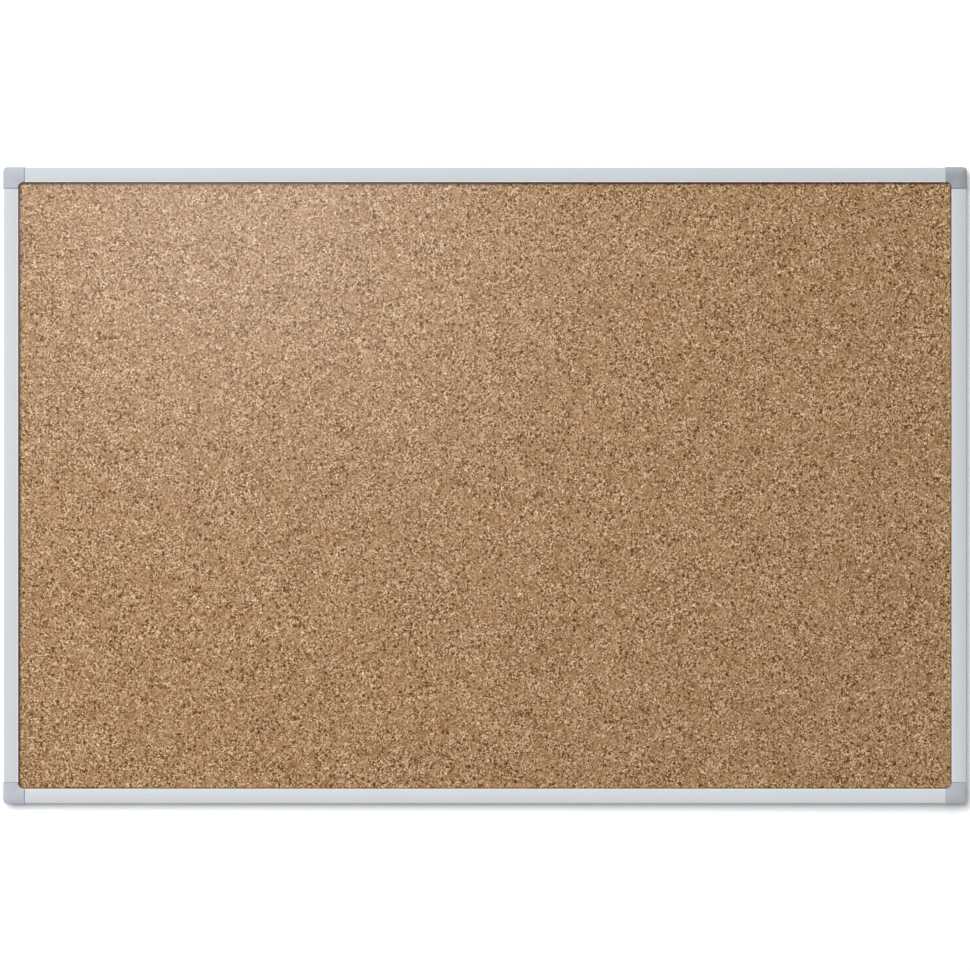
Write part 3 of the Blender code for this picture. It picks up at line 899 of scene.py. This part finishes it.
def steel_finish():
    """Bright zinc plating with short scratches."""
    made = Finish("zinc_plated_steel")
    drawn = made.scaled(made.place, (1, 1, SCRATCH_STRETCH))
    scratch = made.noise(drawn, SCRATCH, 3.0, 0.7)
    bloom = made.noise(made.place, BLOOM)
    colour = made.mix(bloom, STEEL_BLUISH, STEEL_YELLOWISH)
    rough = made.spread(scratch, 0.2, 0.8, *STEEL_ROUGHNESS)
    relief = made.bump(scratch, METAL_BUMP)
    made.done(Metallic=1.0)
    return made.done(Base_Color=colour, Roughness=rough, Normal=relief)


def fibre_finish(name, dark, light, fibre_size, roughness):
    """Pressed fibres: layers of fine strands over a cloudy ground, with dark flecks."""
    made = Finish(name)
    ground = made.noise(made.place, FIBRE_CLOUD, 3.0)
    colour = made.mix(ground, dark, light)
    height = ground
    for layer in range(FIBRE_LAYERS):
        angle = math.radians(FIBRE_FIRST_TURN + FIBRE_TURN * layer)
        inputs = {"Vector": made.place, "Axis": (0, 1, 0), "Angle": angle}
        drawn = made.scaled(made.add("VectorRotate", inputs), (FIBRE_STRETCH, 1, 1))
        strands = made.spread(made.noise(drawn, fibre_size, roughness=0.6), 0.45, 0.75)
        colour = made.mix(made.maths("MULTIPLY", strands, FIBRE_SHARE), colour, light)
        height = made.maths("ADD", height, strands)
    ragged = made.jittered(made.place, FLECK_JITTER)
    from_middle = made.cells(ragged, FLECK_SPACING, "Distance")
    fleck = made.spread(from_middle, *FLECK_EDGE, FLECK_STRENGTH, 0.0)
    colour = made.mix(fleck, colour, dark)
    relief = made.bump(height, FIBRE_BUMP)
    return made.done(Base_Color=colour, Roughness=roughness, Normal=relief)


# ---------------------------------------------------------------- stage, light, camera


def stage_finish(name, colour):
    """A plain pale surface that isn't seen from behind."""
    made = Finish(name)
    cloud = made.maths("MULTIPLY", made.noise(made.place, STAGE_CLOUD), STAGE_CLOUD_SHARE)
    pale = made.mix(cloud, colour, STAGE_CLOUD_COLOUR)
    made.done(Base_Color=pale, Roughness=STAGE_ROUGHNESS, Specular_IOR_Level=0.0)
    see_through = made.add("BsdfTransparent", {})
    behind = made.add("NewGeometry", {}, "Backfacing")
    both = made.add("MixShader", {0: behind, 1: made.shader.outputs[0], 2: see_through})
    made.put(both, made.tree.nodes["Material Output"].inputs["Surface"])
    return made.material


def stage_plane(name, corners, finish):
    """Takes light and shadow, and gives none back to the board."""
    mesh = bpy.data.meshes.new(name)
    mesh.from_pydata(corners, [], [(0, 1, 2, 3)])
    mesh.materials.append(finish)
    plane = new_object(name, mesh)
    plane.visible_diffuse = False
    plane.visible_glossy = False
    plane.visible_transmission = False
    plane.visible_shadow = False
    plane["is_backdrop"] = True


def make_stage():
    side, low = STAGE_HALF_WIDTH, -HALF_HEIGHT - FLOOR_DROP
    back, top, reach = cad_high.y + WALL_GAP, WALL_TOP, FLOOR_REACH
    wall = [(-side, back, low), (side, back, low), (side, back, top), (-side, back, top)]
    floor = [(-side, -reach, low), (side, -reach, low), (side, reach, low)]
    floor.append((-side, reach, low))
    stage_plane("wall", wall, stage_finish("white_wall", WALL_COLOUR))
    stage_plane("floor", floor, stage_finish("pale_floor", FLOOR_COLOUR))


def toward(azimuth, elevation):
    """Unit vector from the board's middle. Azimuth 0 is straight in front, and positive
    azimuths are to the right."""
    across, up = math.radians(azimuth), math.radians(elevation)
    flat = math.cos(up)
    return Vector((math.sin(across) * flat, -math.cos(across) * flat, math.sin(up)))


def make_world():
    """Soft studio surroundings, brighter above and on the left, and seen as plain white."""
    world = bpy.data.worlds.new("studio")
    world.use_nodes = True
    bpy.context.scene.world = world
    world.node_tree.nodes.clear()
    made = Graph(world.node_tree)
    direction = made.add("TexCoord", {}, "Generated")
    level = made.maths("ADD", made.along(direction, SKY_LEAN), SKY_LEVEL)
    level = made.maths("MAXIMUM", level, SKY_DARKEST)
    light = made.add("Background", {"Color": SKY_COLOUR, "Strength": level})
    white = made.add("Background", {"Color": (1, 1, 1, 1)})
    to_camera = made.add("LightPath", {}, "Is Camera Ray")
    mixed = made.add("MixShader", {0: to_camera, 1: light, 2: white})
    made.add("OutputWorld", {"Surface": mixed}, None)


def soft_light(name, azimuth, elevation, distance, width, height, watts, shone_on=None):
    """A rectangular light aimed at the board's middle. It either lights everything and
    isn't mirrored, or is only mirrored, in the pieces of shone_on."""
    light = bpy.data.lights.new(name, "AREA")
    light.shape = "RECTANGLE"
    light.size = width
    light.size_y = height
    light.energy = watts
    lamp = new_object(name, light)
    direction = toward(azimuth, elevation)
    lamp.location = direction * distance
    lamp.rotation_euler = direction.to_track_quat("Z", "Y").to_euler()
    lamp.visible_camera = False
    lamp.visible_glossy = shone_on is not None
    lamp.visible_diffuse = shone_on is None
    if shone_on:
        pieces = bpy.data.collections.new(name + "_shone_on")
        for piece in shone_on:
            pieces.objects.link(piece)
        lamp.light_linking.receiver_collection = pieces


def make_lights(cork_piece, rails, caps):
    """Azimuth and elevation in degrees, distance, width, height and watts of each."""
    soft_light("key", -8, 17, 2.4, 1.0, 1.4, 39)
    soft_light("left_fill", -38, 4, 1.6, 0.6, 0.8, 7)
    soft_light("right_side", 108, 10, 2.0, 0.6, 1.4, 7)
    soft_light("back_fill", 150, 30, 3.5, 2.0, 2.0, 40)
    soft_light("cork_glare", -9, 11, 3.0, 0.6, 0.6, 16, [cork_piece])
    soft_light("rail_sheen", 22, -22, 1.6, 0.5, 0.5, 4, rails)
    soft_light("cap_rim", 5, 36, 2.5, 1.4, 0.5, 20, caps)


def make_camera():
    """Straight in front of the board, far enough back to flatten its depth."""
    lens = bpy.data.cameras.new("camera")
    lens.sensor_fit = "HORIZONTAL"
    lens.sensor_width = SENSOR
    lens.lens = SENSOR * CAMERA_DISTANCE / VIEW_WIDTH
    camera = new_object("camera", lens)
    camera.location = (0, FRONT_Y - CAMERA_DISTANCE, 0)
    camera.rotation_euler = (math.pi / 2, 0, 0)
    bpy.context.scene.camera = camera


# ---------------------------------------------------------------- assembly

cork = cork_finish()
aluminium = aluminium_finish()
cap_plastic = plastic_finish(
    "cap_plastic",
    dark=(0.337, 0.351, 0.388, 1),
    light=(0.371, 0.386, 0.427, 1),
    roughness=0.5,
    grain_size=0.45 * MM,
)
elbow_plastic = plastic_finish(
    "elbow_plastic",
    dark=(0.38, 0.39, 0.42, 1),
    light=(0.44, 0.45, 0.47, 1),
    roughness=0.55,
    grain_size=0.5 * MM,
)
zinc_steel = steel_finish()
fibreboard = fibre_finish(
    "fibreboard",
    dark=(0.24, 0.17, 0.10, 1),
    light=(0.46, 0.36, 0.25, 1),
    fibre_size=0.5 * MM,
    roughness=0.95,
)
backing_paper = fibre_finish(
    "backing_paper",
    dark=(0.50, 0.46, 0.40, 1),
    light=(0.66, 0.62, 0.56, 1),
    fibre_size=0.35 * MM,
    roughness=0.8,
)

cork_piece = make_cork(cork)
rails = []
for turns, side in enumerate(SIDES):
    rails.append(make_rail(side, aluminium, turns))
caps = make_caps(cap_plastic)
for corner, _, _ in CORNERS:
    softened("corner_elbow_" + corner, elbow_plastic, ELBOW_EDGE)
    for length in ("long", "short"):
        softened("screw_%s_%s_rail" % (corner, length), zinc_steel, SCREW_EDGE)
for node, finish in (("fibreboard_core", fibreboard), ("backing_sheet", backing_paper)):
    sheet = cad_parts[node]
    sheet.data.materials.clear()
    sheet.data.materials.append(finish)

make_stage()
make_world()
make_lights(cork_piece, rails, caps)
make_camera()
bpy.context.scene.view_settings.view_transform = "Standard"
